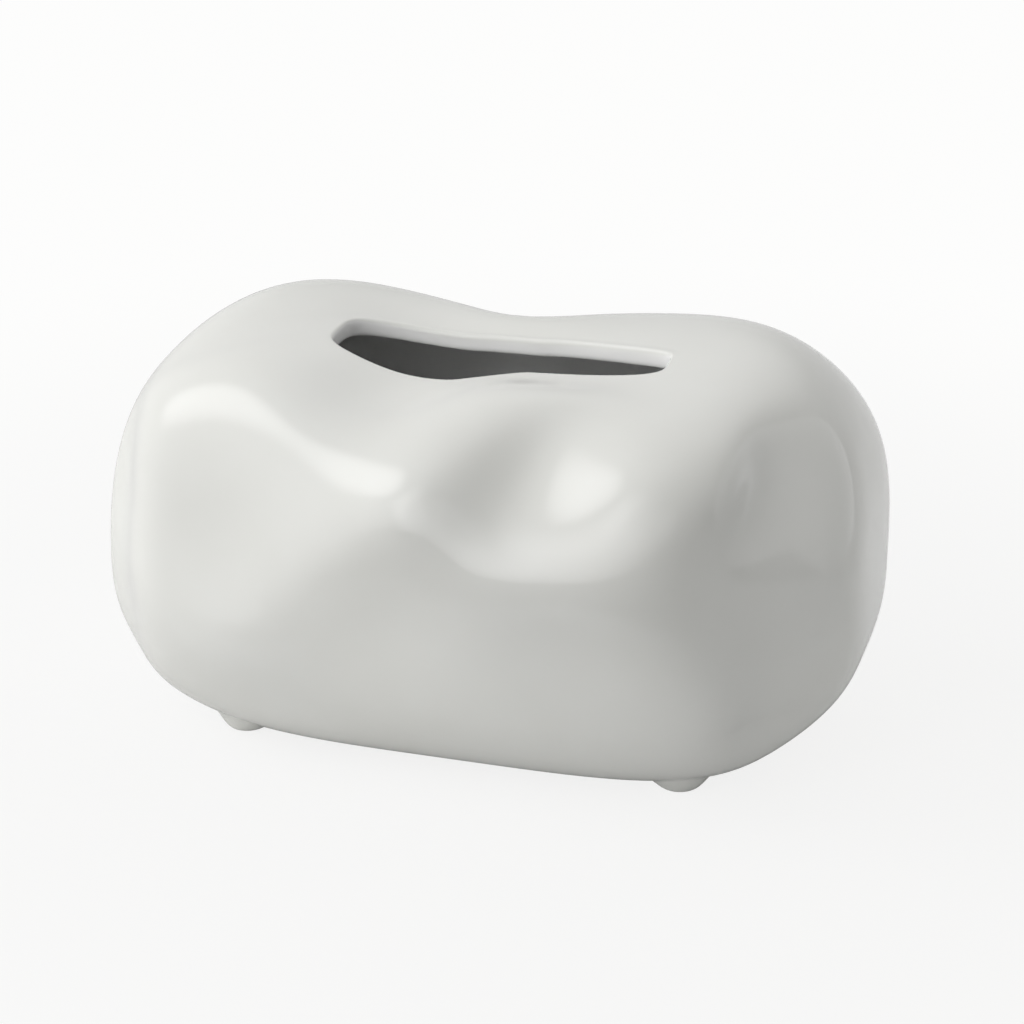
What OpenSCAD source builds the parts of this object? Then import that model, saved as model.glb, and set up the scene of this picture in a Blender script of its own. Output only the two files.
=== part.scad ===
// Tissue box cover: a one-piece glazed ceramic body shaped like a crumpled
// soft pillow, with a wavy dispensing slot on top and four small cast feet.
// A moulded plate closes the loading opening underneath, held by magnets.
// Frame: millimetres, +Z up, +X along the long side, origin at the middle
// of the space the object fills, on the surface that it stands on.

/* [Body] */
// Overall length from end to end
body_w = 240; // [200:1:290]
// Overall depth from front to back
body_d = 144; // [120:1:170]
// Overall height with the feet
body_h = 129.5; // [115:0.5:160]
// Height of the widest level above the surface it stands on
belly_z = 57.5; // [50:0.5:68]
// Thickness of the ceramic wall
wall = 6; // [5:0.5:7]
// Thickness of the underside that the closure sits in
base_t = 10; // [9:0.5:14]

/* [Slot] */
// Length of the clear slot in the top
slot_l = 120; // [105:1:128]
// Clear width of the slot over its wide left half
slot_w = 36; // [30:1:42]
// Clear width of the slot near its right end
slot_narrow_w = 17.5; // [14:0.5:24]
// How far the slot lies to the right of the middle
slot_x = 7.5; // [2:0.5:10]
// How far the slot's left end lies behind the middle
slot_y = 2; // [-2:0.5:5]
// How far the slot bows to the back along its left half
slot_bow = 5.5; // [2:0.5:8]
// How far the slot's right end swings to the front
slot_swing = 10; // [6:0.5:13]
// Width that the slot's edge is rounded over
lip = 2; // [1.5:0.25:3]

/* [Feet] */
// Distance from the body's left and right ends in to the feet's centres
foot_in_x = 49.5; // [45:0.5:56]
// Distance from the body's front and back in to the feet's centres
foot_in_y = 40; // [37:0.5:42]
// How far all the feet stand to the left of the middle
foot_off = 1.5; // [0:0.5:3]
// Height of the underside above the surface it stands on
foot_h = 3; // [2.5:0.5:5]
// Radius of a foot's level tread
foot_r = 5; // [5:0.5:7]
// Width of the flank that sweeps from a foot's tread into the underside
foot_flare = 6; // [3:0.5:8]
// How deep the end of that flank lies inside the underside
foot_root = 0.6; // [0.4:0.1:1]
// Diameter of an anti-slip pad
pad_d = 8; // [6:0.5:9]
// Thickness of an anti-slip pad
pad_t = 1.6; // [1.2:0.1:2]
// How far a pad stands out below its foot
pad_proud = 0.5; // [0.4:0.1:1]

/* [Closure] */
// Distance between the closure plate and the flanks of the nearest feet
plate_land = 1; // [1:0.5:6]
// Distance from the body's front and back in to the closure plate
plate_in_y = 32; // [29:1:36]
// Thickness of the closure plate
plate_t = 4; // [3.5:0.5:5]
// Corner radius of the closure plate
plate_r = 12; // [6:1:16]
// Width of the ledge that the plate seats against
ledge = 6; // [5:0.5:8]
// Corner radius of the loading opening
opening_r = 18; // [14:1:20]
// Height of the locating skirt on the plate
skirt_h = 5; // [3:0.5:5.5]
// Thickness of the locating skirt and of the ribs
skirt_t = 2; // [1.5:0.5:3]
// Diameter of the finger hole in the plate
finger_d = 22; // [18:1:28]

/* [Magnets] */
// Diameter of the magnets and of the steel discs
magnet_d = 6; // [5:0.5:6.5]
// Height of a magnet
magnet_h = 3; // [2:0.5:3]
// Thickness of a steel disc
disc_h = 1.5; // [1:0.5:2]
// Distance from the plate's edge to a magnet's centre
magnet_inset = 8; // [7.5:0.5:9]

/* [Hidden] */

// Clearances
plate_gap = 0.5;
seat_gap = 0.3;
glue_gap = 0.1;
// Overrun of every cut beyond the face it leaves through
over = 1;

// Form of the body: exponents of its rounded-box outline
plan_square = 3.9;
top_square = 3.4;
under_square = 2.8;
// How closely the columns and the lower rows of the surface gather round a
// corner: 1 spreads them evenly
spread = 0.85;
// Depth by which the rounded underside is cut flat, and the blend into the flat
under_sink = 8;
under_blend = 4;

// Soft dents and swellings, in the way a hand leaves them in a cushion.
// Columns: face it is pressed from, place across and up that face as shares
// of the body's half sizes, spread along and across as shares of the height,
// turn in degrees, depth as a share of the height (a swelling is negative).
front = 0;
right = 1;
back = 2;
left = 3;
top = 4;
press_shares = [
    [front, 0.10, 0.90, 0.46, 0.18, -35, 0.110],
    [front, 0.45, 1.15, 0.30, 0.12, 50, 0.110],
    [front, 0.00, 0.75, 0.16, 0.14, 50, -0.060],
    [front, -0.70, -0.05, 0.50, 0.12, -20, -0.030],
    [front, -0.70, 0.75, 0.55, 0.32, 120, 0.100],
    [front, 0.40, 0.35, 0.32, 0.44, -75, -0.110],
    [front, -0.30, 0.20, 0.40, 0.16, 45, -0.040],
    [front, -0.95, 0.60, 0.55, 0.08, 95, 0.130],
    [front, 0.35, 0.05, 0.15, 0.24, -110, 0.040],
    [right, -0.60, 0.60, 0.20, 0.11, 45, 0.125],
    [right, -0.70, -0.25, 0.13, 0.45, 15, 0.125],
    [top, 0.05, -0.05, 0.17, 0.45, 60, 0.060],
    [top, -0.70, 0.30, 0.46, 0.15, 45, -0.060],
    [top, 0.80, 0.05, 0.45, 0.24, -50, -0.075],
    [top, -0.20, -0.50, 0.24, 0.20, 45, 0.090],
    [back, 0.00, 0.90, 0.36, 0.17, -100, 0.130],
    [back, -0.75, 0.50, 0.25, 0.34, 0, -0.025]
];

// Fineness of the surface: columns round the body, rows from the slot down
columns = 96;
rows_top = 16;
rows_under = 14;
rows_lip = 4;
rows_inside = 6;
round_fn = 48;
foot_fn = 24;
foot_steps = 6;

foot_x = body_w / 2 - foot_in_x;
foot_y = body_d / 2 - foot_in_y;
plate_l = 2 * (foot_x - foot_off - foot_r - foot_flare - plate_land);
plate_w = body_d - 2 * plate_in_y;
opening_l = plate_l - 2 * ledge;
opening_w = plate_w - 2 * ledge;
ledge_z = foot_h + plate_t + seat_gap;
plate_z = foot_h;
half_x = body_w / 2;
half_y = body_d / 2;
column_step = 360 / columns;

// General helpers
function power(v, e) = sign(v) * pow(abs(v), e);
function smooth(s) = let (t = min(1, max(0, s))) t * t * (3 - 2 * t);
function soft_max(v, floor_v, blend) =
    max(v, floor_v) + pow(max(blend - abs(v - floor_v), 0), 2) / (4 * blend);
function unit(v) = v / norm(v);
function mixed(p, q, t) = p * (1 - t) + q * t;
// Turns direction p towards direction q along the great circle between them
function turned(p, q, t) =
    let (swing = acos(p * q)) (p * sin(swing * (1 - t)) + q * sin(swing * t)) / sin(swing);

// The rounded box before it is pressed: the point that lies in direction d
// from the middle of the widest level. skin is the depth below the outside,
// under_skin the same for the underside.
function body_point(d, skin, under_skin) =
    let (
        side = pow(pow(abs(d.x), plan_square) + pow(abs(d.y), plan_square), 1 / plan_square),
        e = d.z > 0 ? top_square : under_square,
        reach = pow(pow(side, e) + pow(abs(d.z), e), -1 / e),
        rise = d.z > 0 ? body_h - belly_z - skin : belly_z - foot_h + under_sink - under_skin,
        z = belly_z + rise * d.z * reach
    )
    [(half_x - skin) * d.x * reach, (half_y - skin) * d.y * reach,
     soft_max(z, foot_h + under_skin, under_blend)];

// Direction from the middle to the top of that rounded box above plan point p
function top_direction(p, skin) =
    let (
        sx = p.x / (half_x - skin),
        sy = p.y / (half_y - skin),
        side = pow(pow(abs(sx), plan_square) + pow(abs(sy), plan_square), 1 / plan_square)
    )
    unit([sx, sy, pow(1 - pow(side, top_square), 1 / top_square)]);

// Distance outwards on a face, as a share, and the place on it in lengths
function face_share(f, p) =
    f == front ? -p.y / half_y
    : f == right ? p.x / half_x
    : f == back ? p.y / half_y
    : f == left ? -p.x / half_x
    : (p.z - belly_z) / (body_h - belly_z);
function face_across(f, p) = f == right || f == left ? p.y : p.x;
function face_up(f, p) = f == top ? p.y : p.z - belly_z;
function face_half_across(f) = f == right || f == left ? half_y : half_x;
function face_half_up(f) = f == top ? half_y : body_h - belly_z;
function face_inward(f) =
    f == front ? [0, 1, 0]
    : f == right ? [-1, 0, 0]
    : f == back ? [0, -1, 0]
    : f == left ? [1, 0, 0]
    : [0, 0, -1];

// How far press k moves point p
function press_move(k, p) =
    let (
        f = k[0],
        u = face_across(f, p) - k[1] * face_half_across(f),
        v = face_up(f, p) - k[2] * face_half_up(f),
        along = (u * cos(k[5]) + v * sin(k[5])) / (k[3] * body_h),
        cross_way = (v * cos(k[5]) - u * sin(k[5])) / (k[4] * body_h),
        fade = f == top ? 1 : smooth((p.z - foot_h) / (belly_z - foot_h) * 2)
    )
    face_inward(f) * (k[6] * body_h * fade * smooth(face_share(f, p)))
        * exp(-along * along - cross_way * cross_way);
function total(v) = v * [for (i = v) 1];
function pressed(p) =
    let (moves = [for (k = press_shares) press_move(k, p)])
    p + [total([for (m = moves) m.x]), total([for (m = moves) m.y]), total([for (m = moves) m.z])];

// The slot: its clear edge in plan, grown outwards by grow. t runs from -1 at
// the left end to 1 at the right end. The width draws in, and the centre line
// bows to the back and swings to the front, over the stretches given here, as
// shares of half the length, each a start and a length.
slot_narrowing_shares = [-0.4, 0.55];
slot_bow_shares = [-0.45, 0.55];
slot_swing_shares = [-0.05, 0.75];
slot_round = 0.58;
// How square the slot's edge is in section: 1 is a half circle
lip_round = 0.6;
function slot_middle(t) =
    slot_bow * smooth((t - slot_bow_shares[0]) / slot_bow_shares[1])
        - slot_swing * smooth((t - slot_swing_shares[0]) / slot_swing_shares[1]);
function slot_half(t) =
    let (narrowed = smooth((t - slot_narrowing_shares[0]) / slot_narrowing_shares[1]))
    mixed(slot_w, slot_narrow_w, narrowed) / 2;
function slot_edge(angle, grow) =
    let (t = power(cos(angle), slot_round))
    [slot_x + t * (slot_l / 2 + grow),
     slot_middle(t) + slot_y + power(sin(angle), slot_round) * (slot_half(t) + grow)];
function slot_inward(angle, grow) =
    let (
        step = column_step / 4,
        along = slot_edge(angle + step, grow) - slot_edge(angle - step, grow)
    )
    unit([-along.y, along.x, 0]);

// Columns of the surface. The outside runs from the slot's edge over the
// widest level to the middle of the underside, and the inside the same way.
function side_direction(angle) =
    unit([power(cos(angle), spread), power(sin(angle), spread), 0]);
function gathered(t) =
    atan2(power(sin(90 * t), spread), power(cos(90 * t), spread)) / 90;
function skin_point(angle, row, rows_above, rows_below, skin, under_skin) =
    let (
        start = top_direction(slot_edge(angle, lip), skin),
        side = side_direction(angle),
        d = row < rows_above
            ? turned(start, side, row / rows_above)
            : turned(side, [0, 0, -1], gathered((row - rows_above) / rows_below))
    )
    pressed(body_point(d, skin, under_skin));
function lip_point(angle, row) =
    let (
        outer = skin_point(angle, 0, rows_top, rows_under, 0, 0),
        inner = skin_point(angle, 0, rows_inside, rows_inside, wall, base_t),
        turn = 180 * row / (rows_lip + 1)
    )
    (outer + inner) / 2 + (outer - inner) / 2 * power(cos(turn), lip_round)
        + slot_inward(angle, lip) * (lip * power(sin(turn), lip_round));

// The rows from the bottom of the outside up to the slot, over the lip and
// down the inside, then stretched to fill the named length, depth and height
outside_rows = [for (j = [rows_top + rows_under - 1 : -1 : 0])
    [for (i = [0 : columns - 1])
        skin_point(i * column_step, j, rows_top, rows_under, 0, 0)]];
lip_rows = [for (j = [1 : rows_lip])
    [for (i = [0 : columns - 1]) lip_point(i * column_step, j)]];
inside_rows = [for (j = [0 : 2 * rows_inside - 1])
    [for (i = [0 : columns - 1])
        skin_point(i * column_step, j, rows_inside, rows_inside, wall, base_t)]];
all_rows = concat(outside_rows, lip_rows, inside_rows);

xs = [for (row = outside_rows, p = row) p.x];
ys = [for (row = outside_rows, p = row) p.y];
zs = [for (row = outside_rows, p = row) p.z];
stretch = [body_w / (max(xs) - min(xs)), body_d / (max(ys) - min(ys)),
           (body_h - foot_h) / (max(zs) - foot_h)];
shift = [-(max(xs) + min(xs)) / 2, -(max(ys) + min(ys)) / 2];
// The height is stretched above the underside only, which stays flat
function fitted(p) =
    let (above = smooth((p.z - foot_h - base_t) / (belly_z - foot_h - base_t)))
    [(p.x + shift.x) * stretch.x, (p.y + shift.y) * stretch.y,
     p.z + (p.z - foot_h) * (stretch.z - 1) * above];

module shell_body() {
    n = columns;
    m = len(all_rows);
    points = concat([for (row = all_rows, p = row) fitted(p)],
                    [[0, 0, foot_h], [0, 0, foot_h + base_t]]);
    faces = concat(
        [for (j = [0 : m - 2], i = [0 : n - 1])
            [j * n + i, (j + 1) * n + i, j * n + (i + 1) % n]],
        [for (j = [0 : m - 2], i = [0 : n - 1])
            [(j + 1) * n + i, (j + 1) * n + (i + 1) % n, j * n + (i + 1) % n]],
        [for (i = [0 : n - 1]) [n * m, i, (i + 1) % n]],
        [for (i = [0 : n - 1]) [n * m + 1, (m - 1) * n + (i + 1) % n, (m - 1) * n + i]]
    );
    polyhedron(points, faces, convexity = 6);
}

// A rounded rectangle made of true straights and arcs
module rounded_plan(l, w, r) {
    square([l - 2 * r, w], center = true);
    square([l, w - 2 * r], center = true);
    for (x = [-1, 1], y = [-1, 1])
        translate([x * (l / 2 - r), y * (w / 2 - r)])
            circle(r, $fn = round_fn);
}

// Centres of the four corners, as signs: front left, front right, back left, back right
corners = [[-1, -1], [1, -1], [-1, 1], [1, 1]];
module at_foot(c) {
    translate([c.x * foot_x - foot_off, c.y * foot_y, 0]) children();
}
module at_magnet(c) {
    translate([c.x * (plate_l / 2 - magnet_inset), c.y * (plate_w / 2 - magnet_inset), 0])
        children();
}

// Height of the underside above plan point p
function underside_z(p) =
    let (
        sx = (p.x / stretch.x - shift.x) / half_x,
        sy = (p.y / stretch.y - shift.y) / half_y,
        side = pow(pow(abs(sx), plan_square) + pow(abs(sy), plan_square), 1 / plan_square),
        drop = pow(1 - pow(side, under_square), 1 / under_square)
    )
    soft_max(belly_z - (belly_z - foot_h + under_sink) * drop, foot_h, under_blend);

// A cast foot: rings of points from its level tread out along a soft flank
// that follows the underside and ends just inside it
module foot(c) {
    n = foot_fn;
    centre = [c.x * foot_x - foot_off, c.y * foot_y];
    rings = [for (j = [0 : foot_steps], i = [0 : n - 1])
        let (
            t = j / foot_steps,
            angle = 360 * i / n,
            p = centre + [cos(angle), sin(angle)] * (foot_r + foot_flare * t)
        )
        [p.x, p.y, mixed(pad_proud, underside_z(p) + foot_root, smooth(t))]];
    points = concat(rings, [[centre.x, centre.y, pad_proud],
                            [centre.x, centre.y, underside_z(centre) + foot_root]]);
    m = foot_steps;
    faces = concat(
        [for (j = [0 : m - 1], i = [0 : n - 1])
            [j * n + i, (j + 1) * n + i, j * n + (i + 1) % n]],
        [for (j = [0 : m - 1], i = [0 : n - 1])
            [(j + 1) * n + i, (j + 1) * n + (i + 1) % n, j * n + (i + 1) % n]],
        [for (i = [0 : n - 1]) [n * (m + 1), i, (i + 1) % n]],
        [for (i = [0 : n - 1]) [n * (m + 1) + 1, m * n + (i + 1) % n, m * n + i]]
    );
    polyhedron(points, faces, convexity = 4);
}

module shell() {
    color("whitesmoke")
    difference() {
        union() {
            shell_body();
            for (c = corners) foot(c);
        }
        // Recess for the closure plate
        translate([0, 0, foot_h - over])
            linear_extrude(ledge_z - foot_h + over)
                rounded_plan(plate_l + 2 * plate_gap, plate_w + 2 * plate_gap, plate_r + plate_gap);
        // Loading opening
        translate([0, 0, foot_h])
            linear_extrude(base_t + over)
                rounded_plan(opening_l, opening_w, opening_r);
        // Pockets for the magnets
        for (c = corners) at_magnet(c)
            translate([0, 0, ledge_z - over])
                cylinder(h = magnet_h + glue_gap + over, d = magnet_d + 2 * glue_gap, $fn = round_fn);
        // Pockets for the anti-slip pads
        for (c = corners) at_foot(c)
            translate([0, 0, pad_proud - over])
                cylinder(h = pad_t - pad_proud + glue_gap + over, d = pad_d + 2 * glue_gap, $fn = round_fn);
    }
}

module base_plate() {
    skirt_l = opening_l - 2 * plate_gap;
    skirt_w = opening_w - 2 * plate_gap;
    skirt_r = opening_r - plate_gap;
    color("gainsboro")
    translate([0, 0, plate_z])
    difference() {
        union() {
            linear_extrude(plate_t) rounded_plan(plate_l, plate_w, plate_r);
            // Skirt that finds the loading opening
            linear_extrude(plate_t + skirt_h)
                difference() {
                    rounded_plan(skirt_l, skirt_w, skirt_r);
                    rounded_plan(skirt_l - 2 * skirt_t, skirt_w - 2 * skirt_t, skirt_r - skirt_t);
                }
            // Collar round the finger hole, and ribs from it to the skirt
            cylinder(h = plate_t + skirt_h, d = finger_d + 2 * skirt_t, $fn = round_fn);
            translate([-skirt_l / 2 + skirt_t / 2, -skirt_t / 2, 0])
                cube([skirt_l - skirt_t, skirt_t, plate_t + skirt_h / 2]);
            translate([-skirt_t / 2, -skirt_w / 2 + skirt_t / 2, 0])
                cube([skirt_t, skirt_w - skirt_t, plate_t + skirt_h / 2]);
        }
        // Finger hole
        translate([0, 0, -over])
            cylinder(h = plate_t + skirt_h + 2 * over, d = finger_d, $fn = round_fn);
        // Pockets for the steel discs
        for (c = corners) at_magnet(c)
            translate([0, 0, plate_t - disc_h - glue_gap])
                cylinder(h = disc_h + glue_gap + over, d = magnet_d + 2 * glue_gap, $fn = round_fn);
    }
}

module magnet(c) {
    color("silver") at_magnet(c)
        translate([0, 0, ledge_z])
            cylinder(h = magnet_h, d = magnet_d, $fn = round_fn);
}

module disc(c) {
    color("lightsteelblue") at_magnet(c)
        translate([0, 0, plate_z + plate_t - disc_h])
            cylinder(h = disc_h, d = magnet_d, $fn = round_fn);
}

module pad(c) {
    color("dimgray") at_foot(c)
        cylinder(h = pad_t, d = pad_d, $fn = round_fn);
}

shell();
base_plate();
magnet(corners[0]);  // magnet_front_left
magnet(corners[1]);  // magnet_front_right
magnet(corners[2]);  // magnet_back_left
magnet(corners[3]);  // magnet_back_right
disc(corners[0]);  // disc_front_left
disc(corners[1]);  // disc_front_right
disc(corners[2]);  // disc_back_left
disc(corners[3]);  // disc_back_right
pad(corners[0]);  // pad_front_left
pad(corners[1]);  // pad_front_right
pad(corners[2]);  // pad_back_left
pad(corners[3]);  // pad_back_right
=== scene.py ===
# Looks of a glazed ceramic tissue box cover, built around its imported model.
# The form is worked out in millimetres, in the frame of the model: +Z up, +X
# along the long side, origin on the surface that the cover stands on.
import math

import bmesh
import bpy
import numpy as np
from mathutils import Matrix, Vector
from mathutils.geometry import delaunay_2d_cdt


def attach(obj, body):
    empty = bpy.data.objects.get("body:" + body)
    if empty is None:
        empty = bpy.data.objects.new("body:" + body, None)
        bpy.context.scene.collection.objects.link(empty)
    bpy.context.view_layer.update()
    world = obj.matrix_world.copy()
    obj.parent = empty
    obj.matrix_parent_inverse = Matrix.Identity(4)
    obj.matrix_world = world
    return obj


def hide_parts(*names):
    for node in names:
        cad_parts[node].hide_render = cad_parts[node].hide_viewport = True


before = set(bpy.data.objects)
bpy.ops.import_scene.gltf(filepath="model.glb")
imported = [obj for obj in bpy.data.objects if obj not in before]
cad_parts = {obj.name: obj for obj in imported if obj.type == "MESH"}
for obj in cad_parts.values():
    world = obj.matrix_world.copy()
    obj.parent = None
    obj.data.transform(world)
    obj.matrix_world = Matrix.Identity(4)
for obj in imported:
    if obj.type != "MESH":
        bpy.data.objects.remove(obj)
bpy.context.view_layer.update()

MM = 0.001

# Sizes of the cover, as in the part's source but for the slot, whose sizes and
# shares come from a later fit to the photograph: it lies nearer the front here,
# and is shorter on the right
body_w, body_d, body_h = 240.0, 144.0, 129.5
belly_z, wall, base_t = 57.5, 6.0, 10.0
slot_l, slot_w, slot_narrow_w = 106.0, 34.0, 18.5
slot_x, slot_y, slot_bow, slot_swing, lip = 2.7, -1.2, 5.6, 11.6, 2.0
foot_x, foot_y, foot_off = 70.5, 32.0, 1.5
foot_h, foot_r, foot_flare = 3.0, 5.0, 6.0
pad_d, pad_t, pad_proud = 8.0, 1.6, 0.5
plate_l, plate_w, plate_t, plate_r = 114.0, 80.0, 4.0, 12.0
ledge, opening_r = 6.0, 18.0
magnet_d, magnet_h, magnet_inset = 6.0, 3.0, 8.0
plate_gap, seat_gap, glue_gap = 0.5, 0.3, 0.1
plan_square, top_square, under_square = 3.9, 3.4, 2.8
spread, under_sink, under_blend = 0.85, 8.0, 4.0
slot_narrowing, slot_bowing, slot_swinging = (-0.22, 0.41), (-0.24, 0.45), (-0.09, 1.06)
slot_round, lip_round = 0.52, 0.6

# Dents and swellings: face, place across and up it, spread along and across,
# turn in degrees and depth, in the shares that the part's source uses. They are
# a least-squares fit to the photograph, rounded, and weren't placed by eye.
FRONT, RIGHT, BACK, TOP = range(4)
presses = [
    (FRONT, 0.10, 0.90, 0.46, 0.18, -35, 0.110),
    (FRONT, 0.45, 1.15, 0.30, 0.12, 50, 0.110),
    (FRONT, 0.00, 0.75, 0.16, 0.14, 50, -0.060),
    (FRONT, -0.70, -0.05, 0.50, 0.12, -20, -0.030),
    (FRONT, -0.70, 0.75, 0.55, 0.32, 120, 0.100),
    (FRONT, 0.40, 0.35, 0.32, 0.44, -75, -0.110),
    (FRONT, -0.30, 0.20, 0.40, 0.16, 45, -0.040),
    (FRONT, -0.95, 0.60, 0.55, 0.08, 95, 0.130),
    (FRONT, 0.35, 0.05, 0.15, 0.24, -110, 0.040),
    (RIGHT, -0.60, 0.60, 0.20, 0.11, 45, 0.125),
    (RIGHT, -0.70, -0.25, 0.13, 0.45, 15, 0.125),
    (TOP, 0.05, -0.05, 0.17, 0.45, 60, 0.060),
    (TOP, -0.70, 0.30, 0.46, 0.15, 45, -0.060),
    (TOP, 0.80, 0.05, 0.45, 0.24, -50, -0.075),
    (TOP, -0.20, -0.50, 0.24, 0.20, 45, 0.090),
    (BACK, 0.00, 0.90, 0.36, 0.17, -100, 0.130),
    (BACK, -0.75, 0.50, 0.25, 0.34, 0, -0.025),
]

half_x, half_y = body_w / 2, body_d / 2
ledge_z = foot_h + plate_t + seat_gap
opening_l, opening_w = plate_l - 2 * ledge, plate_w - 2 * ledge
corner_signs = {"front_left": (-1, -1), "front_right": (1, -1),
                "back_left": (-1, 1), "back_right": (1, 1)}

# Fineness of the visible skin
columns = 384
rows_top, rows_side, rows_lip, rows_inside = 84, 44, 22, 36
rows_measured = 60
round_steps, foot_steps, ease_steps, seat_steps = 48, 14, 5, 3
corner_points, long_steps, short_steps = 13, 28, 16
underside_grain, ledge_grain, inner_floor_grain = 1.7, 2.2, 3.0
# Share of the way in under the body where its rows of points end
turn_in = 0.42

# Radius of the edges of recess and opening, and chamfer of the small pockets
edge_soft, pocket_chamfer = 0.8, 0.2
# Radius that eases the edges of each other piece
eased_edge = {"base_plate": 0.35, "magnet": 0.25, "disc": 0.15, "pad": 0.3}
bevel_segments = 3
# Folds, in degrees: those from which the body and the other pieces keep a crisp
# edge, those from which an edge is eased, and those too flat to be kept
body_crisp, piece_crisp, eased_from, flat_below = 50, 35, 50, 1
# Points closer than this, in the units of the mesh at hand, are one point
same_place = 1e-6


# Form of the body

def power(v, e):
    return np.sign(v) * np.abs(v) ** e


def smooth(s):
    t = np.clip(s, 0, 1)
    return t * t * (3 - 2 * t)


def soft_max(v, floor, blend):
    return np.maximum(v, floor) + np.maximum(blend - np.abs(v - floor), 0) ** 2 / (4 * blend)


def unit(v):
    return v / np.linalg.norm(v, axis=-1, keepdims=True)


def side_norm(x, y):
    return (np.abs(x) ** plan_square + np.abs(y) ** plan_square) ** (1 / plan_square)


def rise_below(under_skin):
    return belly_z - foot_h + under_sink - under_skin


def body_point(d, skin, under_skin):
    """The rounded box before it is pressed, in direction d from the middle of its widest level."""
    side = side_norm(d[..., 0], d[..., 1])
    e = np.where(d[..., 2] > 0, top_square, under_square)
    reach = (side ** e + np.abs(d[..., 2]) ** e) ** (-1 / e)
    rise = np.where(d[..., 2] > 0, body_h - belly_z - skin, rise_below(under_skin))
    z = belly_z + rise * d[..., 2] * reach
    return np.stack([(half_x - skin) * d[..., 0] * reach, (half_y - skin) * d[..., 1] * reach,
                     soft_max(z, foot_h + under_skin, under_blend)], -1)


def floor_point(flat, skin, under_skin):
    """The underside of that rounded box, or of its hollow, at a place in plan."""
    side = side_norm(flat[..., 0] / (half_x - skin), flat[..., 1] / (half_y - skin))
    drop = (1 - np.minimum(side, 1) ** under_square) ** (1 / under_square)
    z = belly_z - rise_below(under_skin) * drop
    return np.concatenate([flat, soft_max(z, foot_h + under_skin, under_blend)[..., None]], -1)


def top_direction(flat, skin):
    sx, sy = flat[..., 0] / (half_x - skin), flat[..., 1] / (half_y - skin)
    return unit(np.stack([sx, sy, (1 - side_norm(sx, sy) ** top_square) ** (1 / top_square)], -1))


def pressed(p):
    moved = p.copy()
    x, y, z = p[..., 0], p[..., 1], p[..., 2]
    half_z = body_h - belly_z
    faces = {
        FRONT: (-y / half_y, x, z - belly_z, half_x, half_z, (0, 1, 0)),
        RIGHT: (x / half_x, y, z - belly_z, half_y, half_z, (-1, 0, 0)),
        BACK: (y / half_y, x, z - belly_z, half_x, half_z, (0, -1, 0)),
        TOP: ((z - belly_z) / half_z, x, y, half_x, half_y, (0, 0, -1)),
    }
    for face, place_across, place_up, spread_along, spread_across, turn, depth in presses:
        share, across, up, half_across, half_up, inward = faces[face]
        u, v = across - place_across * half_across, up - place_up * half_up
        c, s = math.cos(math.radians(turn)), math.sin(math.radians(turn))
        along = (u * c + v * s) / (spread_along * body_h)
        cross_way = (v * c - u * s) / (spread_across * body_h)
        fade = 1.0 if face == TOP else smooth((z - foot_h) / (belly_z - foot_h) * 2)
        push = depth * body_h * fade * smooth(share) * np.exp(-along ** 2 - cross_way ** 2)
        moved = moved + push[..., None] * np.array(inward, float)
    return moved


def turned(p, q, t):
    swing = np.arccos(np.clip((p * q).sum(-1), -1, 1))[..., None]
    return (p * np.sin(swing * (1 - t)) + q * np.sin(swing * t)) / np.sin(swing)


def slot_edge(angle, grow):
    c, s = np.cos(angle), np.sin(angle)
    t = power(c, slot_round)
    middle = (slot_bow * smooth((t - slot_bowing[0]) / slot_bowing[1]) + slot_y
              - slot_swing * smooth((t - slot_swinging[0]) / slot_swinging[1]))
    narrowed = smooth((t - slot_narrowing[0]) / slot_narrowing[1])
    half = (slot_w + (slot_narrow_w - slot_w) * narrowed) / 2
    return np.stack([slot_x + t * (slot_l / 2 + grow),
                     middle + power(s, slot_round) * (half + grow)], -1)


def slot_inward(angle):
    step = math.radians(1)
    along = slot_edge(angle + step, lip) - slot_edge(angle - step, lip)
    return unit(np.stack([-along[..., 1], along[..., 0], 0 * angle], -1))


angles = np.arange(columns) * 2 * math.pi / columns
side_directions = unit(np.stack([power(np.cos(angles), spread),
                                 power(np.sin(angles), spread), 0 * angles], -1))


def above(share, skin, under_skin):
    """A ring between the slot, share 0, and the widest level, share 1."""
    start = top_direction(slot_edge(angles, lip), skin)
    return body_point(turned(start, side_directions, share), skin, under_skin)


def below(share, skin, under_skin):
    """A ring between the widest level, share 0, and the middle of the underside, share 1."""
    down = np.broadcast_to([0.0, 0.0, -1.0], side_directions.shape)
    return body_point(turned(side_directions, down, share), skin, under_skin)


# The pressed form is shifted and stretched to fill the named sizes
shares = np.linspace(0, 1, rows_measured)
measured = pressed(np.concatenate(
    [above(s, 0, 0) for s in shares] + [below(s, 0, 0) for s in shares]))
low, high = measured.min(0), measured.max(0)
shift = -(low + high)[:2] / 2
stretch = np.array([body_w / (high[0] - low[0]), body_d / (high[1] - low[1]),
                    (body_h - foot_h) / (high[2] - foot_h)])


def placed(p):
    p = pressed(p)
    z = p[..., 2]
    raised = smooth((z - foot_h - base_t) / (belly_z - foot_h - base_t))
    return np.concatenate([(p[..., :2] + shift) * stretch[:2],
                           (z + (z - foot_h) * (stretch[2] - 1) * raised)[..., None]], -1)


def plan_of(xy):
    """The place in the unpressed plan of a point of the underside."""
    return np.asarray(xy, float) / stretch[:2] - shift


def underside(flat):
    return placed(floor_point(flat, 0, 0))


def inner_floor(flat):
    return placed(floor_point(flat, wall, base_t))


# Mesh of a piece

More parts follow.
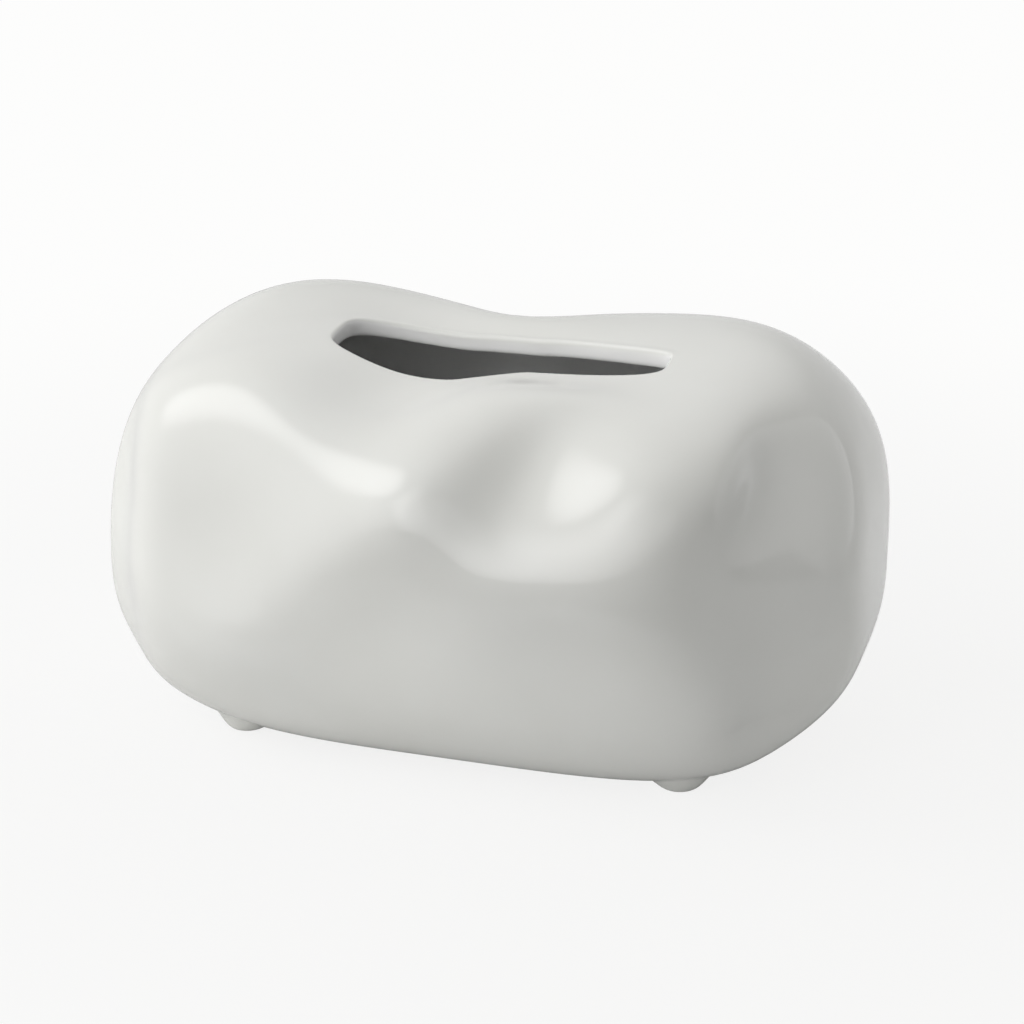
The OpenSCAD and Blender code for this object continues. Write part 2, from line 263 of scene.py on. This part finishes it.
def inside_loop(points, loop):
    """Which points lie inside a closed loop in plan."""
    x, y = points[:, :1], points[:, 1:]
    a, b = loop, np.roll(loop, -1, axis=0)
    crosses = (a[:, 1] > y) != (b[:, 1] > y)
    run = np.where(b[:, 1] == a[:, 1], 1.0, b[:, 1] - a[:, 1])
    at = a[:, 0] + (y - a[:, 1]) / run * (b[:, 0] - a[:, 0])
    return (crosses & (x < at)).sum(1) % 2 == 1


class Piece:
    """Rings of points and the faces between them, while a piece is being formed."""

    def __init__(self):
        self.points = []
        self.flats = []
        self.faces = []

    def ring(self, points, flat=None):
        """Adds points and gives their numbers. flat is where they lie in the plan that fill works in."""
        start = len(self.points)
        points = np.asarray(points, float)
        self.points.extend(points.tolist())
        self.flats.extend((points[:, :2] if flat is None else flat).tolist())
        return list(range(start, len(self.points)))

    def strip(self, first, second):
        n = len(first)
        for i in range(n):
            j = (i + 1) % n
            self.faces.append((first[i], first[j], second[j], second[i]))

    def sweep(self, rings, start=None):
        """Joins rings of points one after another and gives the last one."""
        last = start
        for points in rings:
            ring = self.ring(points)
            if last is not None:
                self.strip(last, ring)
            last = ring
        return last

    def cap(self, ring):
        self.faces.append(tuple(ring))

    def fill(self, outer, holes, place, grain):
        """Fills the space between an outer ring and the rings of its holes with triangles."""
        loops = [outer] + holes
        flats = [np.array([self.flats[i] for i in loop]) for loop in loops]
        # The grid starts a part of a grain inside, so that none of its points lies
        # on a ring, and those that come too near a ring are left out
        low, high = flats[0].min(0) + grain / 3, flats[0].max(0)
        least_gap = grain * 0.6
        rows = np.arange(low[1], high[1], grain * math.sqrt(3) / 2)
        grid = np.array([(x + grain / 2 * (k % 2), y) for k, y in enumerate(rows)
                         for x in np.arange(low[0], high[0], grain)])
        keep = inside_loop(grid, flats[0])
        for hole in flats[1:]:
            keep &= ~inside_loop(grid, hole)
        grid = grid[keep]
        for flat in flats:
            near = np.min(np.linalg.norm(grid[:, None] - flat[None], axis=-1), axis=1)
            grid = grid[near > least_gap]
        known = [i for loop in loops for i in loop]
        edges, at = [], 0
        for loop in loops:
            edges += [(at + k, at + (k + 1) % len(loop)) for k in range(len(loop))]
            at += len(loop)
        flat = np.concatenate(flats + [grid])
        only_inside = 1
        verts, _, faces, sources, _, _ = delaunay_2d_cdt(
            [Vector(p) for p in flat], edges, [], only_inside, same_place)
        added = self.ring(place(grid))
        index = known + added
        middles = np.array([np.mean([verts[i] for i in f], axis=0) for f in faces])
        shown = np.ones(len(faces), bool)
        for hole in flats[1:]:
            shown &= ~inside_loop(middles, hole)
        for f, show in zip(faces, shown):
            if show:
                self.faces.append(tuple(index[sources[i][0]] for i in f))

    def make(self, name):
        mesh = bpy.data.meshes.new(name)
        mesh.from_pydata([Vector(p) * MM for p in self.points], [], self.faces)
        bm = bmesh.new()
        bm.from_mesh(mesh)
        bmesh.ops.recalc_face_normals(bm, faces=bm.faces)
        bm.to_mesh(mesh)
        bm.free()
        mesh.shade_smooth()
        mesh.set_sharp_from_angle(angle=math.radians(body_crisp))
        obj = bpy.data.objects.new(name, mesh)
        bpy.context.scene.collection.objects.link(obj)
        return obj


def circle(centre, r, z):
    a = np.arange(round_steps) * 2 * math.pi / round_steps
    return np.stack([centre[0] + r * np.cos(a), centre[1] + r * np.sin(a), 0 * a + z], -1)


def rounded_ring(length, width, r, grow, z):
    """A rounded rectangle, grown by an offset, with the same points at any offset."""
    points = []
    for k, (sx, sy) in enumerate([(1, 1), (-1, 1), (-1, -1), (1, -1)]):
        cx, cy = sx * (length / 2 - r), sy * (width / 2 - r)
        for a in np.linspace(k * 90, k * 90 + 90, corner_points):
            a = math.radians(a)
            points.append((cx + (r + grow) * math.cos(a), cy + (r + grow) * math.sin(a)))
        last = points[-1]
        if k % 2 == 0:
            stop, n = (-cx, last[1]), long_steps
        else:
            stop, n = (last[0], -cy), short_steps
        points += [tuple(np.array(last) + (np.array(stop) - last) * t)
                   for t in np.linspace(0, 1, n + 1)[1:-1]]
    points = np.array(points)
    z = np.broadcast_to(np.asarray(z, float), len(points))
    return np.concatenate([points, z[:, None]], 1)


def quarter(steps=ease_steps):
    """Angles that part a quarter turn into steps, without its start."""
    return np.linspace(0, math.pi / 2, steps + 1)[1:]


# The glazed body

def glazed_body():
    body = Piece()

    def level(z):
        return lambda flat: np.concatenate([flat, np.full((len(flat), 1), z)], 1)

    # Outside from its lower edge up to the slot, over the lip and down inside
    low_edge, inner_low_edge = below(turn_in, 0, 0), below(turn_in, wall, base_t)
    outside = [placed(below(s, 0, 0)) for s in np.linspace(turn_in, 0, rows_side + 1)[:-1]]
    outside += [placed(above(s, 0, 0)) for s in np.linspace(1, 0, rows_top)]
    inner = placed(above(0, wall, base_t))
    outer = outside[-1]
    inward = slot_inward(angles)
    over_lip = [(outer + inner) / 2 + (outer - inner) / 2 * power(math.cos(a), lip_round)
                + inward * (lip * power(math.sin(a), lip_round))
                for a in np.linspace(0, math.pi, rows_lip + 1)[1:-1]]
    inside = [placed(above(s, wall, base_t)) for s in np.linspace(0, 1, rows_inside)]
    inside += [placed(below(s, wall, base_t)) for s in np.linspace(0, turn_in, rows_inside // 2)[1:]]
    bottom_ring = body.ring(outside[0], low_edge[:, :2])
    last = body.sweep(outside[1:] + over_lip + inside[:-1], bottom_ring)
    inside_ring = body.ring(inside[-1], inner_low_edge[:, :2])
    body.strip(last, inside_ring)

    # Feet whose flanks sweep into the underside, each with a pocket for its pad
    foot_rings = []
    for sx, sy in corner_signs.values():
        centre = np.array([sx * foot_x - foot_off, sy * foot_y])
        rings = []
        for t in np.linspace(1, 0, foot_steps + 1):
            flat = plan_of(circle(centre, foot_r + foot_flare * t, 0)[:, :2])
            ring = underside(flat)
            if not rings:
                edge_flat = flat
            ring[:, 2] = pad_proud + (ring[:, 2] - pad_proud) * smooth(t)
            rings.append(ring)
        pocket_r = pad_d / 2 + glue_gap
        rings += [circle(centre, pocket_r + pocket_chamfer, pad_proud),
                  circle(centre, pocket_r, pad_proud + pocket_chamfer),
                  circle(centre, pocket_r, pad_t + glue_gap)]
        first = body.ring(rings[0], edge_flat)
        foot_rings.append(first)
        body.cap(body.sweep(rings[1:], first))

    # Recess for the closure, its ledge with the magnets' pockets, and the opening
    plate = (plate_l, plate_w, plate_r)
    edge_flat = plan_of(rounded_ring(*plate, plate_gap + edge_soft, 0)[:, :2])
    edge = underside(edge_flat)
    recess = body.ring(edge, edge_flat)
    edge_z = edge[:, 2]
    rings = [rounded_ring(*plate, plate_gap + edge_soft * (1 - math.sin(b)),
                          edge_z + edge_soft * (1 - math.cos(b))) for b in quarter()]
    rings += [rounded_ring(*plate, plate_gap - seat_gap * (1 - math.cos(b)),
                           ledge_z - seat_gap * (1 - math.sin(b)))
              for b in np.append(0, quarter(seat_steps))]
    ledge_ring = body.sweep(rings, recess)
    body.fill(bottom_ring, [recess] + foot_rings, underside, underside_grain)

    opening = (opening_l, opening_w, opening_r)
    opening_ring = body.ring(rounded_ring(*opening, edge_soft, ledge_z))
    pocket_rings = []
    for sx, sy in corner_signs.values():
        centre = (sx * (plate_l / 2 - magnet_inset), sy * (plate_w / 2 - magnet_inset))
        r = magnet_d / 2 + glue_gap
        first = body.ring(circle(centre, r + pocket_chamfer, ledge_z))
        pocket_rings.append(first)
        body.cap(body.sweep([circle(centre, r, ledge_z + pocket_chamfer),
                             circle(centre, r, ledge_z + magnet_h + glue_gap)], first))
    body.fill(ledge_ring, [opening_ring] + pocket_rings, level(ledge_z), ledge_grain)
    top_flat = plan_of(rounded_ring(*opening, edge_soft, 0)[:, :2])
    top_edge = inner_floor(top_flat)
    top_z = top_edge[:, 2]
    rings = [rounded_ring(*opening, edge_soft * (1 - math.sin(b)),
                          ledge_z + edge_soft * (1 - math.cos(b))) for b in quarter()]
    rings += [rounded_ring(*opening, edge_soft * (1 - math.cos(b)),
                           top_z - edge_soft * (1 - math.sin(b)))
              for b in np.append(0, quarter()[:-1])]
    last = body.sweep(rings, opening_ring)
    top_ring = body.ring(top_edge, top_flat)
    body.strip(last, top_ring)
    body.fill(inside_ring, [top_ring], inner_floor, inner_floor_grain)
    return body.make("glazed_body")


def eased(node, name, radius):
    """A moulded, plated or cast piece of the shape of a CAD node, with its edges eased."""
    bm = bmesh.new()
    bm.from_mesh(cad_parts[node].data)
    bmesh.ops.remove_doubles(bm, verts=bm.verts, dist=same_place)
    bmesh.ops.dissolve_limit(bm, angle_limit=math.radians(flat_below),
                             verts=bm.verts, edges=bm.edges)
    corners = [e for e in bm.edges if len(e.link_faces) == 2
               and e.calc_face_angle() > math.radians(eased_from)]
    bmesh.ops.bevel(bm, geom=corners, offset=radius * MM, segments=bevel_segments,
                    profile=0.5, affect="EDGES", clamp_overlap=True)
    mesh = bpy.data.meshes.new(name)
    bm.to_mesh(mesh)
    bm.free()
    mesh.shade_smooth()
    mesh.set_sharp_from_angle(angle=math.radians(piece_crisp))
    obj = bpy.data.objects.new(name, mesh)
    bpy.context.scene.collection.objects.link(obj)
    return obj


# Finishes

class Wire:
    """A value that flows from one node to another, and can stand in a sum."""

    def __init__(self, finish, socket):
        self.finish, self.socket = finish, socket

    def math(self, operation, first, second):
        return self.finish.add("ShaderNodeMath", {"operation": operation}, {0: first, 1: second})

    def __add__(self, other):
        return self.math("ADD", self, other)

    def __rsub__(self, other):
        return self.math("SUBTRACT", other, self)

    def __mul__(self, other):
        return self.math("MULTIPLY", self, other)

    __radd__, __rmul__ = __add__, __mul__

    def between(self, low, high):
        """0 at low, 1 at high, smooth in between."""
        settings = {"interpolation_type": "SMOOTHSTEP", "clamp": True}
        return self.finish.add("ShaderNodeMapRange", settings, {0: self, 1: low, 2: high})


class Finish:
    """A material, world or other node tree, built node by node."""

    def __init__(self, tree):
        self.tree = tree
        self.tree.nodes.clear()

    def add(self, kind, settings=None, values=None, out=0):
        node = self.tree.nodes.new(kind)
        for key, value in (settings or {}).items():
            setattr(node, key, value)
        for key, value in (values or {}).items():
            if isinstance(value, Wire):
                self.tree.links.new(value.socket, node.inputs[key])
            else:
                node.inputs[key].default_value = value
        return Wire(self, node.outputs[out]) if node.outputs else node

    def noise(self, place, scale, detail):
        return self.add("ShaderNodeTexNoise", None,
                        {"Vector": place, "Scale": scale, "Detail": detail})

    def blended(self, share, first, second):
        """A colour between two colours."""
        return self.add("ShaderNodeMix", {"data_type": "RGBA"}, {0: share, 6: first, 7: second}, 2)

    def relief(self, height, distance):
        return self.add("ShaderNodeBump", None,
                        {"Height": height, "Distance": distance, "Strength": 1.0})

    def surface(self, shader):
        self.add("ShaderNodeOutputMaterial", None, {"Surface": shader})


def material(name):
    made = bpy.data.materials.new(name)
    made.use_nodes = True
    return made, Finish(made.node_tree)


def object_place(f):
    return f.add("ShaderNodeTexCoord", out=3)


# The glaze begins between these heights, in metres, above the bare treads of the
# feet; painted light makes the inside whiter between these cosines of facing outwards
glaze_line = (0.0007, 0.0011)
inward_from_to = (0.0, -0.3)
glaze_pooled, glaze_thin = (0.800, 0.802, 0.765, 1), (0.825, 0.828, 0.795, 1)
# Painted light: a whiter colour for the inside, standing in for light bounced into the hollow
painted_light_inside = (0.94, 0.94, 0.93, 1)
bisque_dark, bisque_light = (0.62, 0.60, 0.55, 1), (0.72, 0.70, 0.65, 1)


def ceramic_glaze():
    """Glossy white glaze, a little warm where it pools, over a body that is bare under the feet."""
    made, f = material("ceramic_glaze")
    place = object_place(f)
    height = f.add("ShaderNodeSeparateXYZ", None, {0: place}, 2)
    bare = 1 - height.between(*glaze_line)
    cloud = f.noise(place, scale=16, detail=3)
    grain = f.noise(place, scale=220, detail=2)
    glaze = f.blended(cloud.between(0.3, 0.7), glaze_pooled, glaze_thin)
    # Inside, where the skin faces the middle of the body, painted light makes the colour whiter
    middle = f.add("ShaderNodeVectorMath", {"operation": "SUBTRACT"},
                   {0: place, 1: (0, 0, belly_z * MM)})
    faces_out = f.add("ShaderNodeVectorMath", {"operation": "DOT_PRODUCT"},
                      {0: f.add("ShaderNodeVectorMath", {"operation": "NORMALIZE"}, {0: middle}),
                       1: f.add("ShaderNodeTexCoord", out=1)}, 1)
    glaze = f.blended(faces_out.between(*inward_from_to), glaze, painted_light_inside)
    bisque = f.blended(grain, bisque_dark, bisque_light)
    colour = f.blended(bare, glaze, bisque)
    rough = 0.02 + 0.03 * f.noise(place, scale=55, detail=2) + 0.55 * bare
    ripple = f.relief(f.noise(place, scale=38, detail=1), distance=0.00008)
    skin = f.add("ShaderNodeBump", None, {
        "Height": f.noise(place, scale=700, detail=1), "Distance": 0.000004, "Normal": ripple})
    f.surface(f.add("ShaderNodeBsdfPrincipled", None, {
        "Base Color": colour, "Roughness": rough, "IOR": 1.5, "Normal": skin}))
    return made


def closure_plastic():
    """Fine matte moulded plastic."""
    made, f = material("closure_plastic")
    place = object_place(f)
    cloud = f.noise(place, scale=24, detail=2)
    spark = f.noise(place, scale=1800, detail=2)
    colour = f.blended(cloud, (0.83, 0.83, 0.81, 1), (0.87, 0.87, 0.85, 1))
    f.surface(f.add("ShaderNodeBsdfPrincipled", None, {
        "Base Color": colour, "Roughness": 0.5 + 0.15 * spark, "IOR": 1.46,
        "Normal": f.relief(spark, distance=0.00002)}))
    return made


def magnet_nickel():
    """Bright nickel plate with faint handling marks."""
    made, f = material("magnet_nickel")
    place = object_place(f)
    marks = f.noise(place, scale=900, detail=3).between(0.45, 0.75)
    colour = f.blended(marks, (0.66, 0.65, 0.62, 1), (0.60, 0.59, 0.56, 1))
    f.surface(f.add("ShaderNodeBsdfPrincipled", None, {
        "Base Color": colour, "Metallic": 1.0, "Roughness": 0.12 + 0.18 * marks}))
    return made


def disc_steel():
    """Zinc plated steel with the fine lines of its sheet."""
    made, f = material("disc_steel")
    place = object_place(f)
    stretched = f.add("ShaderNodeMapping", None, {"Vector": place, "Scale": (150, 4500, 300)})
    lines = f.noise(stretched, scale=1.0, detail=2)
    colour = f.blended(lines, (0.50, 0.51, 0.53, 1), (0.60, 0.61, 0.62, 1))
    f.surface(f.add("ShaderNodeBsdfPrincipled", None, {
        "Base Color": colour, "Metallic": 1.0, "Roughness": 0.28 + 0.15 * lines,
        "Normal": f.relief(lines, distance=0.000006)}))
    return made


def pad_rubber():
    """Matte light grey silicone."""
    made, f = material("pad_rubber")
    place = object_place(f)
    dust = f.noise(place, scale=600, detail=3)
    colour = f.blended(dust, (0.55, 0.55, 0.53, 1), (0.63, 0.63, 0.61, 1))
    f.surface(f.add("ShaderNodeBsdfPrincipled", None, {
        "Base Color": colour, "Roughness": 0.55 + 0.2 * dust, "IOR": 1.42,
        "Normal": f.relief(f.noise(place, scale=2400, detail=2), distance=0.00001)}))
    return made


# The pieces, each on its body

def dress(piece, node, slot, body):
    piece.data.materials.clear()
    piece.data.materials.append(finishes[slot])
    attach(piece, body)
    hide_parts(node)


finishes = {"ceramic_glaze": ceramic_glaze(), "closure_plastic": closure_plastic(),
            "magnet_nickel": magnet_nickel(), "disc_steel": disc_steel(),
            "pad_rubber": pad_rubber()}
dress(glazed_body(), "shell", "ceramic_glaze", "cover")
dress(eased("base_plate", "moulded_closure", eased_edge["base_plate"]),
      "base_plate", "closure_plastic", "closure")
for corner in corner_signs:
    dress(eased(f"magnet_{corner}", f"plated_magnet_{corner}", eased_edge["magnet"]),
          f"magnet_{corner}", "magnet_nickel", "cover")
    dress(eased(f"disc_{corner}", f"steel_disc_{corner}", eased_edge["disc"]),
          f"disc_{corner}", "disc_steel", "closure")
    dress(eased(f"pad_{corner}", f"silicone_pad_{corner}", eased_edge["pad"]),
          f"pad_{corner}", "pad_rubber", "cover")


# Camera, fitted to the photograph together with the body's proportions, and rounded

view_azimuth, view_elevation = math.radians(16.8), math.radians(22.3)
view_distance, view_right, view_up = 0.843, 0.0058, 0.0024
view_target = Vector((0, 0, 0.0665))
picture_px, focal_px, sensor_mm = 1024, 2700, 36.0
view_reach = 50

sa, ca = math.sin(view_azimuth), math.cos(view_azimuth)
se, ce = math.sin(view_elevation), math.cos(view_elevation)
to_right = Vector((ca, sa, 0))
to_camera = Vector((sa * ce, -ca * ce, se))
to_up = to_camera.cross(to_right)


def studio_point(right, up, towards):
    """A place given along the camera's own directions from the object's middle, in metres."""
    return view_target + to_right * right + to_up * up + to_camera * towards


def aimed(obj, place, target):
    obj.location = place
    obj.rotation_euler = (Vector(place) - Vector(target)).to_track_quat("Z", "Y").to_euler()


camera_data = bpy.data.cameras.new("camera")
camera_data.sensor_width = sensor_mm
camera_data.lens = focal_px / picture_px * sensor_mm
camera_data.clip_end = view_reach
camera = bpy.data.objects.new("camera", camera_data)
bpy.context.scene.collection.objects.link(camera)
bpy.context.scene.camera = camera
camera_place = studio_point(view_right, view_up, view_distance)
aimed(camera, camera_place, camera_place - to_camera)


# Studio

# The tent's cloth glows softly all over, more where a lamp stands behind it:
# bearing from the camera to the right, rise above the floor, how far the glow
# spreads and how far it is even, all in degrees, and how much it adds. The
# light's values and the floor's started from fits to the photograph's shading
# and were then changed.
tent_radius, tent_height = 1.5, 0.06
tent_around, tent_up, tent_below = 48, 12, 2
tent_glow = 0.68
tent_lamps = {
    "key": (-70, 28, 40, 0, 0.5),
    "key_middle": (-90, 41, 22, 5, 2.4),
    "front_left": (-24, 28, 36, 0, 2.4),
    "back": (158, 50, 30, 0, 0.35),
}
# The cloth is dark in front, on the right: the same, and how dark. Two round
# reflectors stand before it, in front and at the object's right end.
dark_side = (38, 26, 72, 34, 1.0)
reflectors = {
    "front": (-6, 22, 24, 0, 0.9),
    "right": (84, 16, 30, 27, 0.7),
}
# The floor shows to the camera as white paper with this share of its own shading,
# fading out between these distances from the middle, in metres
paper_white, paper_grey = (0.98, 0.98, 0.975, 1), (0.78, 0.78, 0.78, 1)
shaded_share, shaded_reach = 0.14, (0.16, 0.5)
# What the glaze mirrors of the table: black cloth in front, outside the picture,
# and a white board on the right. Bearing, cosines from the side edge to the full
# tone, and distances from the near edge to the full tone, in metres.
black_cloth = (-12, (0.5, 0.8), (0.16, 0.22))
white_board = (115, (0.3, 0.8), (0.10, 0.16))
table_grey, board_white = (0.72, 0.72, 0.72, 1), (0.97, 0.97, 0.97, 1)
cloth_black = (0.02, 0.02, 0.02, 1)
floor_half = 6.0


def studio_direction(bearing, rise):
    b, r = math.radians(bearing), math.radians(rise)
    front = Vector((sa, -ca, 0))
    return (front * math.cos(b) + to_right * math.sin(b)) * math.cos(r) + Vector((0, 0, math.sin(r)))


def staged(name, points, faces, finish):
    mesh = bpy.data.meshes.new(name)
    mesh.from_pydata(points, [], faces)
    obj = bpy.data.objects.new(name, mesh)
    bpy.context.scene.collection.objects.link(obj)
    obj.data.materials.append(finish)
    return obj


def glowing_cloth():
    """White cloth lit from behind by the tent's lamps."""
    made, f = material("glowing_cloth")
    away = f.add("ShaderNodeVectorMath", {"operation": "NORMALIZE"}, {0: object_place(f)})

    def patch(bearing, rise, spread, even):
        towards = f.add("ShaderNodeVectorMath", {"operation": "DOT_PRODUCT"},
                        {0: away, 1: studio_direction(bearing, rise)}, 1)
        return towards.between(math.cos(math.radians(spread)), math.cos(math.radians(even)))

    glow = tent_glow
    for *shape, strength in tent_lamps.values():
        glow = glow + strength * patch(*shape)
    *shape, darkness = dark_side
    glow = glow * (1 - darkness * patch(*shape))
    for *shape, strength in reflectors.values():
        glow = glow + strength * patch(*shape)
    f.surface(f.add("ShaderNodeEmission", None, {"Color": glow, "Strength": 1.0}))
    return made


def light_tent():
    around, up = tent_around, tent_up
    points = [tuple(studio_direction(360 * i / around, 90 * j / up - tent_below) * tent_radius)
              for j in range(up + 1) for i in range(around)]
    faces = [(j * around + i, j * around + (i + 1) % around,
              (j + 1) * around + (i + 1) % around, (j + 1) * around + i)
             for j in range(up) for i in range(around)]
    tent = staged("light_tent", points, faces, glowing_cloth())
    tent.location = (0, 0, tent_height)
    tent.visible_camera = False


def floor_paper():
    """White to the camera, less a share of the object's soft shadow; a table to the rest."""
    made, f = material("floor_paper")
    place = object_place(f)
    x = f.add("ShaderNodeSeparateXYZ", None, {0: place}, 0)
    y = f.add("ShaderNodeSeparateXYZ", None, {0: place}, 1)
    away = f.add("ShaderNodeMath", {"operation": "SQRT"}, {0: x * x + y * y})
    near = 1 - away.between(*shaded_reach)
    paper = f.add("ShaderNodeBsdfDiffuse", None, {"Color": paper_grey})
    white = f.add("ShaderNodeEmission", None, {"Color": paper_white, "Strength": 1.0})
    seen = f.add("ShaderNodeMixShader", None, {0: shaded_share * near, 1: white, 2: paper})
    aside = f.add("ShaderNodeVectorMath", {"operation": "NORMALIZE"}, {0: place})

    def lying(bearing, from_side, from_near):
        towards = f.add("ShaderNodeVectorMath", {"operation": "DOT_PRODUCT"},
                        {0: aside, 1: studio_direction(bearing, 0)}, 1)
        return towards.between(*from_side) * away.between(*from_near)

    tone = f.blended(lying(*white_board), table_grey, board_white)
    table = f.add("ShaderNodeBsdfDiffuse", None, {
        "Color": f.blended(lying(*black_cloth), tone, cloth_black)})
    camera_ray = f.add("ShaderNodeLightPath", out=0)
    f.surface(f.add("ShaderNodeMixShader", None, {0: camera_ray, 1: table, 2: seen}))
    return made


staged("floor", [(-floor_half, -floor_half, 0), (floor_half, -floor_half, 0),
                 (floor_half, floor_half, 0), (-floor_half, floor_half, 0)],
       [(0, 1, 2, 3)], floor_paper())
light_tent()

world = bpy.data.worlds.new("studio")
world.use_nodes = True
bpy.context.scene.world = world
f = Finish(world.node_tree)
backdrop = f.add("ShaderNodeBackground", None, {"Color": paper_white, "Strength": 1.0})
f.add("ShaderNodeOutputWorld", None, {"Surface": backdrop})

bpy.context.scene.view_settings.view_transform = "Standard"
